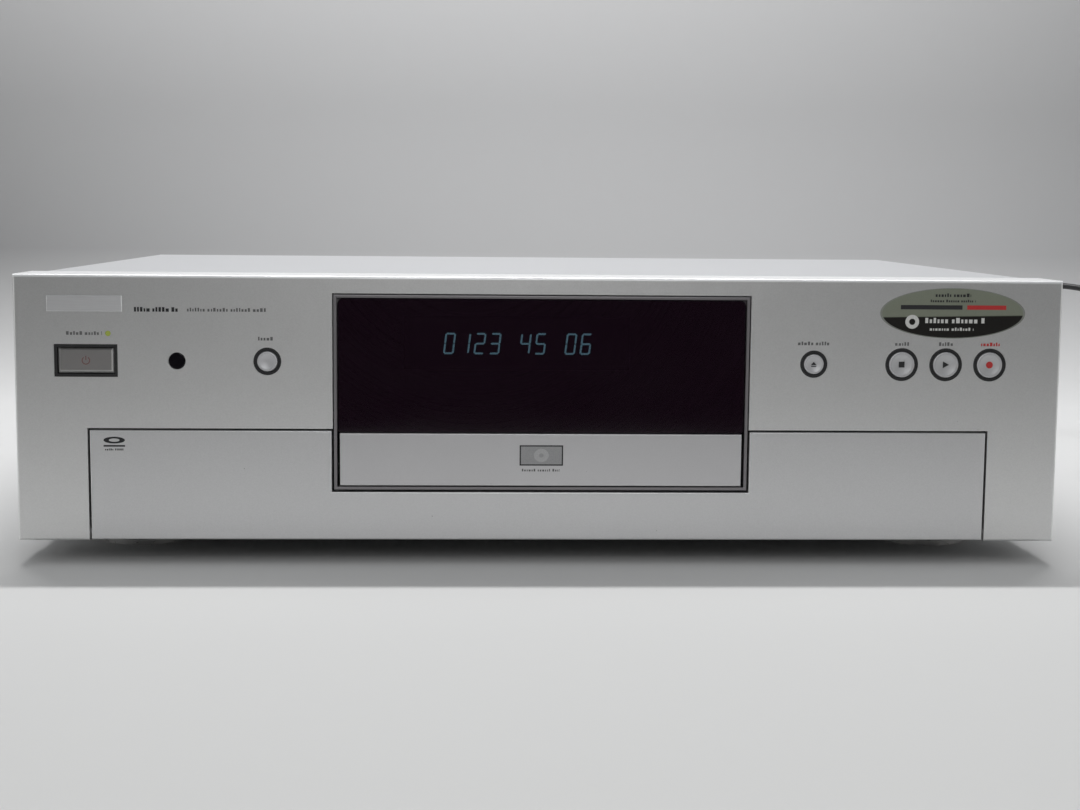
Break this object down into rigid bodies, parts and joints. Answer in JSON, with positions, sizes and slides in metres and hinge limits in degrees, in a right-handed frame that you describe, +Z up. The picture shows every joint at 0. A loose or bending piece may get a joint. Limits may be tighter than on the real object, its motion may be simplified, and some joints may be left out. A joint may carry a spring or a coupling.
{
  "type": "disc recorder",
  "caption": "Full-width silver disc recorder with a centre tray door under a smoked window, a hinged lower flap, round feet and a coiled mains lead.",
  "frame": {"origin": "on the table below the middle of the set without its lead, with the feet's undersides at z = 0", "axes": "+X to the right as seen from the front, +Y to the back, +Z up; the front face looks along -Y"},
  "size_m": [0.6414, 0.449, 0.1205],
  "materials": {
    "silver_face": "satin",
    "silver_flap": "satin",
    "silver_door": "satin",
    "silver_trim": "satin",
    "smoked_window": "gloss",
    "black_plastic": "matte",
    "key_silver": "satin",
    "infrared_black": "gloss",
    "lamp_lens": "gloss",
    "label_paper": "satin",
    "plate_metal": "satin",
    "cover_paint": "satin",
    "zinc_steel": "satin",
    "foot_silver": "gloss",
    "dark_panel": "matte",
    "dark_key": "satin",
    "socket_metal": "polished",
    "circuit_board": "satin",
    "tube_glass": "gloss",
    "tuner_steel": "satin",
    "transformer_iron": "matte",
    "sink_aluminium": "matte",
    "capacitor_sleeve": "gloss",
    "drive_black": "satin",
    "puck_white": "satin",
    "turntable_black": "matte",
    "sled_grey": "satin",
    "rod_steel": "polished",
    "motor_can": "satin",
    "cord_black": "matte",
    "tie_plastic": "satin"
  },
  "bodies": {
    "housing": {"front_panel": "silver_face", "display_frame": "silver_trim", "display_window": "smoked_window", "key_guide_left": "black_plastic", "key_guide_right": "black_plastic", "infrared_window": "infrared_black", "standby_lamp": "lamp_lens", "oval_label": "label_paper", "name_plate": "plate_metal", "top_cover": "cover_paint", "base_chassis": "zinc_steel", "rear_panel": "zinc_steel", "foot_front_left": "foot_silver", "foot_front_right": "foot_silver", "foot_rear_left": "foot_silver", "foot_rear_right": "foot_silver", "socket_panel": "dark_panel", "front_av_sockets": "socket_metal", "hidden_key_board": "circuit_board", "display_board": "circuit_board", "display_tube": "tube_glass", "mains_inlet": "black_plastic", "scart_sockets": "black_plastic", "rear_av_sockets": "socket_metal", "aerial_sockets": "tuner_steel", "fan_housing": "black_plastic", "power_board": "circuit_board", "power_transformer": "transformer_iron", "heat_sink": "sink_aluminium", "bulk_capacitor": "capacitor_sleeve", "main_board": "circuit_board", "loader_chassis": "drive_black", "clamp_bridge": "zinc_steel", "loading_motor": "motor_can", "mains_connector": "cord_black", "mains_lead": "cord_black", "mains_coil": "cord_black", "coil_tie": "tie_plastic", "mains_plug": "cord_black"},
    "tray": {"tray_front": "silver_door", "disc_tray": "black_plastic"},
    "flap": {"front_flap": "silver_flap"},
    "loading_gear": {"loading_pinion": "puck_white"},
    "deck_unit": {"deck": "zinc_steel", "guide_rod_left": "rod_steel", "guide_rod_right": "rod_steel"},
    "disc_table": {"turntable": "turntable_black"},
    "sled": {"pickup_sled": "sled_grey"},
    "sled_screw": {"lead_screw": "rod_steel"},
    "clamp": {"clamp_puck": "puck_white"},
    "fan": {"fan_rotor": "black_plastic"},
    "standby_button_cap": {"standby_button": "key_silver"},
    "panel_button_cap": {"panel_button": "key_silver"},
    "open_close_button_cap": {"open_close_button": "key_silver"},
    "stop_button_cap": {"stop_button": "key_silver"},
    "play_button_cap": {"play_button": "key_silver"},
    "record_button_cap": {"record_button": "key_silver"},
    "hidden_key_1_cap": {"hidden_key_1": "dark_key"},
    "hidden_key_2_cap": {"hidden_key_2": "dark_key"},
    "hidden_key_3_cap": {"hidden_key_3": "dark_key"}
  },
  "joints": [
    {"name": "tray_slide", "type": "slide", "parent": "housing", "child": "tray", "axis": [0, -1, 0], "range_m": [0, 0.14]},
    {"name": "loading_gear_turn", "type": "hinge", "parent": "housing", "child": "loading_gear", "pos_m": [-0.0555, -0.13025, 0.0299], "axis": [1, 0, 0], "range_deg": [-1, 893]},
    {"name": "flap_hinge", "type": "hinge", "parent": "housing", "child": "flap", "pos_m": [0, -0.16175, 0.0134], "axis": [1, 0, 0], "range_deg": [0, 90]},
    {"name": "deck_tilt", "type": "hinge", "parent": "housing", "child": "deck_unit", "pos_m": [0, -0.00125, 0.024], "axis": [-1, 0, 0], "range_deg": [0, 5]},
    {"name": "disc_spin", "type": "hinge", "parent": "deck_unit", "child": "disc_table", "pos_m": [0, -0.09525, 0.035], "axis": [0, 0, 1], "continuous": true},
    {"name": "clamp_spin", "type": "hinge", "parent": "housing", "child": "clamp", "pos_m": [0, -0.09525, 0.057], "axis": [0, 0, 1], "continuous": true},
    {"name": "sled_slide", "type": "slide", "parent": "deck_unit", "child": "sled", "axis": [0, 1, 0], "range_m": [0, 0.034]},
    {"name": "screw_turn", "type": "hinge", "parent": "deck_unit", "child": "sled_screw", "pos_m": [-0.042, -0.05525, 0.0281], "axis": [0, 1, 0], "range_deg": [-5, 4085]},
    {"name": "fan_spin", "type": "hinge", "parent": "housing", "child": "fan", "pos_m": [-0.11, 0.14875, 0.078], "axis": [0, 1, 0], "continuous": true},
    {"name": "standby_button_press", "type": "slide", "parent": "housing", "child": "standby_button_cap", "axis": [0, 1, 0], "range_m": [0, 0.0008], "stiffness_N_per_m": 600, "springref_m": -0.0008},
    {"name": "panel_button_press", "type": "slide", "parent": "housing", "child": "panel_button_cap", "axis": [0, 1, 0], "range_m": [0, 0.0008], "stiffness_N_per_m": 600, "springref_m": -0.0008},
    {"name": "open_close_button_press", "type": "slide", "parent": "housing", "child": "open_close_button_cap", "axis": [0, 1, 0], "range_m": [0, 0.0008], "stiffness_N_per_m": 600, "springref_m": -0.0008},
    {"name": "stop_button_press", "type": "slide", "parent": "housing", "child": "stop_button_cap", "axis": [0, 1, 0], "range_m": [0, 0.0008], "stiffness_N_per_m": 600, "springref_m": -0.0008},
    {"name": "play_button_press", "type": "slide", "parent": "housing", "child": "play_button_cap", "axis": [0, 1, 0], "range_m": [0, 0.0008], "stiffness_N_per_m": 600, "springref_m": -0.0008},
    {"name": "record_button_press", "type": "slide", "parent": "housing", "child": "record_button_cap", "axis": [0, 1, 0], "range_m": [0, 0.0008], "stiffness_N_per_m": 600, "springref_m": -0.0008},
    {"name": "hidden_key_1_press", "type": "slide", "parent": "housing", "child": "hidden_key_1_cap", "axis": [0, 1, 0], "range_m": [0, 0.0008], "stiffness_N_per_m": 600, "springref_m": -0.0008},
    {"name": "hidden_key_2_press", "type": "slide", "parent": "housing", "child": "hidden_key_2_cap", "axis": [0, 1, 0], "range_m": [0, 0.0008], "stiffness_N_per_m": 600, "springref_m": -0.0008},
    {"name": "hidden_key_3_press", "type": "slide", "parent": "housing", "child": "hidden_key_3_cap", "axis": [0, 1, 0], "range_m": [0, 0.0008], "stiffness_N_per_m": 600, "springref_m": -0.0008}
  ],
  "couplings": [
    {"joint": "loading_gear_turn", "follows": "tray_slide", "rad_per_m": 111.11},
    {"joint": "screw_turn", "follows": "sled_slide", "rad_per_m": 2094.4},
    {"joint": "clamp_spin", "follows": "disc_spin", "ratio": 1}
  ]
}
